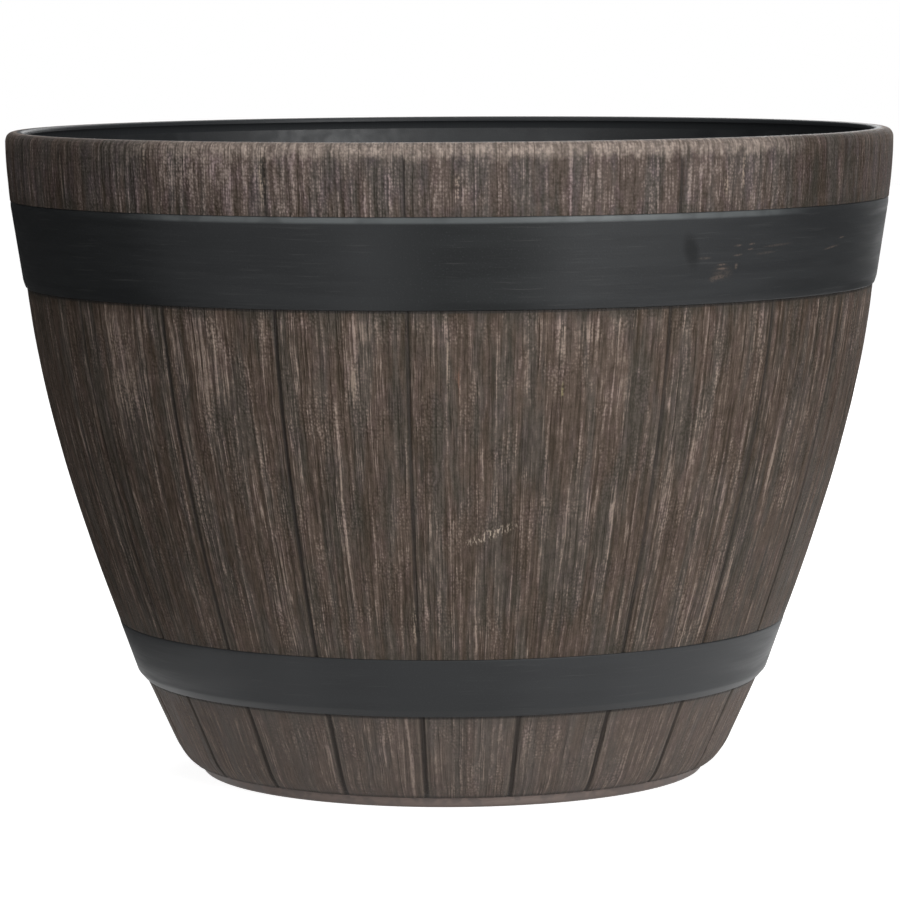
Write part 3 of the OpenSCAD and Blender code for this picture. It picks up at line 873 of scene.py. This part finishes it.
bump = add(tree, "ShaderNodeBump", {"Height": marked, "Strength": 0.3, "Distance": 0.15 * MM})
tree.links.new(bump.outputs["Normal"], shader.inputs["Normal"])
no_ledge_highlights = [0.0] * STAVES
hoop_lower = hoop("hoop_lower", "lower_hoop", LOWER_HOOP, lower_step, lower_bevel_d, LOWER_START, no_ledge_highlights,
                  LOWER_DUST_AND_LIGHT)
hoop_upper = hoop("hoop_upper", "upper_hoop", UPPER_HOOP, upper_step, upper_bevel_d, UPPER_START, LEDGE_HIGHLIGHTS,
                  UPPER_DUST_AND_LIGHT)
for band in (hoop_lower, hoop_upper):
    band.data.materials.append(material)

# The drain plugs
# Four soft rubber plugs pressed into the drain holes from inside, each moulded in one: a flange that lies in
# its recess, a hollow stem with a tapered tip below, and a rounded tab above to pull it out by.
plug_fit = 0.05 * MM
flange_r = 12.5 * MM
stem_low = 4.5 * MM
tip_h = 1.2 * MM
hollow_r = 4 * MM
tab_w = 12 * MM
tab_h = 9 * MM
tab_t = 3.2 * MM
tab_sunk = 1.2 * MM
tab_round = 0.7 * MM
plug_round = 0.5 * MM
# A shallow dish in the flange's top leaves a raised edge
edge_w = 3 * MM
dish_depth = 0.5 * MM
dish_slope_w = 0.6 * MM
stem_r = drain_r - plug_fit
plug_corners = [
    (0, recess_z), (hollow_r, recess_z - 1 * MM), (hollow_r, stem_low), (stem_r - tip_h, stem_low),
    (stem_r, stem_low + tip_h), (stem_r, recess_z), (flange_r, recess_z), (flange_r, floor_z),
    (flange_r - edge_w, floor_z), (flange_r - edge_w - dish_slope_w, floor_z - dish_depth),
    (0, floor_z - dish_depth),
]

material, tree, shader = new_material("black rubber")
place = add(tree, "ShaderNodeTexCoord").outputs["Object"]
bloom = use_group(tree, grains, {"Vector": place, "Size": 6 * MM, "Seed": 4.0})
skin = use_group(tree, grains, {"Vector": place, "Size": 0.35 * MM, "Seed": 6.0})
rubber = mixed(tree, ramp(tree, bloom, 0.4, 0.7), shade(24, 24, 24), shade(38, 38, 37))
tree.links.new(rubber, shader.inputs["Base Color"])
tree.links.new(ramp(tree, bloom, 0.3, 0.7, 0.6, 0.8), shader.inputs["Roughness"])
bump = add(tree, "ShaderNodeBump", {"Height": skin, "Strength": 0.4, "Distance": 0.1 * MM})
tree.links.new(bump.outputs["Normal"], shader.inputs["Normal"])


def plug_tab():
    """A tab with a round top and straight sides that stands in the middle of the flange."""
    bm = bmesh.new()
    bmesh.ops.create_circle(bm, segments=48, radius=tab_w / 2, cap_ends=True)
    bmesh.ops.rotate(bm, verts=bm.verts, matrix=Matrix.Rotation(math.radians(90), 3, "Y"))
    for v in bm.verts:
        v.co.z = v.co.z + tab_h - tab_w / 2 if v.co.z > 0 else -tab_sunk
    solid = bmesh.ops.extrude_face_region(bm, geom=bm.faces[:])
    moved = [v for v in solid["geom"] if isinstance(v, bmesh.types.BMVert)]
    bmesh.ops.translate(bm, verts=moved, vec=(tab_t, 0, 0))
    bmesh.ops.translate(bm, verts=bm.verts, vec=(-tab_t / 2, 0, floor_z))
    bmesh.ops.recalc_face_normals(bm, faces=bm.faces)
    sides = [e for e in bm.edges if e.calc_face_angle(0) > 1.0]
    bmesh.ops.bevel(bm, geom=sides, offset=tab_round, segments=3, profile=0.5, affect="EDGES", material=-1)
    return as_object("tab", bm)


for i in range(1, DRAINS + 1):
    plug = as_object(f"plug_{i}", spun_mesh(eased(plug_corners, plug_round, 3), 8, parts=8))
    merged(plug, plug_tab(), "UNION")
    plug.data.transform(at_drain(i))
    soften(plug, 35)
    plug.data.materials.clear()
    plug.data.materials.append(material)
    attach(plug, f"plug_{i}")
    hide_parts(f"drain_plug_{i}")

# The studio
# A plain pale floor under soft light: the largest lamp to the right of the camera, a weak one to its left,
# one overhead and two weak ones behind. Dark cloths that the camera doesn't see stand left and right and lie
# beside the barrel, and keep its sides in shade. The camera stands 2 m off.
barrel_middle = Vector((0, 0, 0.15))
lamp_distance = 2.2
air_light = 0.08


def flat_sheet(name, reach):
    """A level square sheet that reaches so far to each side of the origin."""
    bm = bmesh.new()
    bmesh.ops.create_grid(bm, x_segments=1, y_segments=1, size=reach)
    return as_object(name, bm)


def seen_or_mirrored(tree):
    """1 where the camera sees the surface, straight, mirrored or through glass, and 0 for soft light."""
    path = add(tree, "ShaderNodeLightPath").outputs
    mirrored = maths(tree, "MAXIMUM", path["Is Glossy Ray"], path["Is Transmission Ray"])
    return maths(tree, "MAXIMUM", path["Is Camera Ray"], mirrored)


floor = flat_sheet("floor", 6.0)
material, tree, shader = new_material("pale floor")
shader.inputs["Base Color"].default_value = (0.62, 0.62, 0.62, 1)
shader.inputs["Roughness"].default_value = 0.9
# The floor shows nearly white, and keeps the barrel's shadow
whitening = maths(tree, "MULTIPLY", seen_or_mirrored(tree), 0.9)
lift = add(tree, "ShaderNodeEmission", {"Color": (1, 1, 1, 1), "Strength": whitening})
both = add(tree, "ShaderNodeAddShader", {0: shader.outputs[0], 1: lift.outputs[0]})
tree.links.new(both.outputs[0], tree.nodes["Material Output"].inputs["Surface"])
floor.data.materials.append(material)

world = bpy.data.worlds.new("studio")
bpy.context.scene.world = world
world.use_nodes = True
tree = world.node_tree
# The background shows white, and the soft light from all round is weak
glow = ramp(tree, seen_or_mirrored(tree), 0.0, 1.0, air_light, 1.0)
tree.links.new(glow, tree.nodes["Background"].inputs["Strength"])
tree.nodes["Background"].inputs["Color"].default_value = (1, 1, 1, 1)


def lamp(name, azimuth, elevation, size, power):
    """A square soft lamp that faces the barrel, its azimuth in degrees from the front to the right."""
    light = bpy.data.lights.new(name, "AREA")
    light.size = size
    light.energy = power
    a = math.radians(azimuth)
    e = math.radians(elevation)
    offset = Vector((math.sin(a) * math.cos(e), -math.cos(a) * math.cos(e), math.sin(e))) * lamp_distance
    made = bpy.data.objects.new(name, light)
    made.location = barrel_middle + offset
    made.rotation_euler = (-offset).to_track_quat("-Z", "Y").to_euler()
    bpy.context.scene.collection.objects.link(made)


lamp("key", 34, 15, 1.2, 34)
lamp("fill", -40, 15, 1.0, 11)
lamp("overhead", 10, 80, 1.6, 9)
lamp("low back", 172, 18, 1.0, 6)
lamp("high back", -178, 50, 1.4, 8)


def place_cloth(reach, place, grey):
    """A square cloth, moved to its place, that the camera doesn't see."""
    flag = flat_sheet("flag", reach)
    flag.data.transform(place)
    cloth, tree, shader = new_material("cloth")
    shader.inputs["Base Color"].default_value = (grey, grey, grey, 1)
    shader.inputs["Roughness"].default_value = 1.0
    flag.data.materials.append(cloth)
    flag.visible_camera = False
    flag.visible_shadow = False


upright = Matrix.Translation((0, -1.7, 0.9)) @ Matrix.Rotation(math.radians(90), 4, "X")
for azimuth in (-75, -140, 98):
    place_cloth(1.3, Matrix.Rotation(math.radians(azimuth), 4, "Z") @ upright, 0.02)
place_cloth(1.5, Matrix.Translation((-1.71, 0, MM)), 0.1)
place_cloth(1.3, Matrix.Translation((1.74, 0.2, MM)), 0.04)

# The focal length is given in pixels of a picture 900 wide
camera = bpy.data.objects.new("camera", bpy.data.cameras.new("camera"))
picture_width = 900
focal_pixels = 4504
camera.data.sensor_width = 36.0
camera.data.lens = camera.data.sensor_width * focal_pixels / picture_width
camera.location = (-0.0004, -2.00875, 0.34526)
looking_down = 5.777
pitch = math.radians(90 - looking_down)
roll = math.radians(-0.34)
camera.rotation_euler = (Matrix.Rotation(pitch, 3, "X") @ Matrix.Rotation(roll, 3, "Z")).to_euler()
bpy.context.scene.collection.objects.link(camera)
bpy.context.scene.camera = camera
bpy.context.scene.view_settings.view_transform = "Standard"
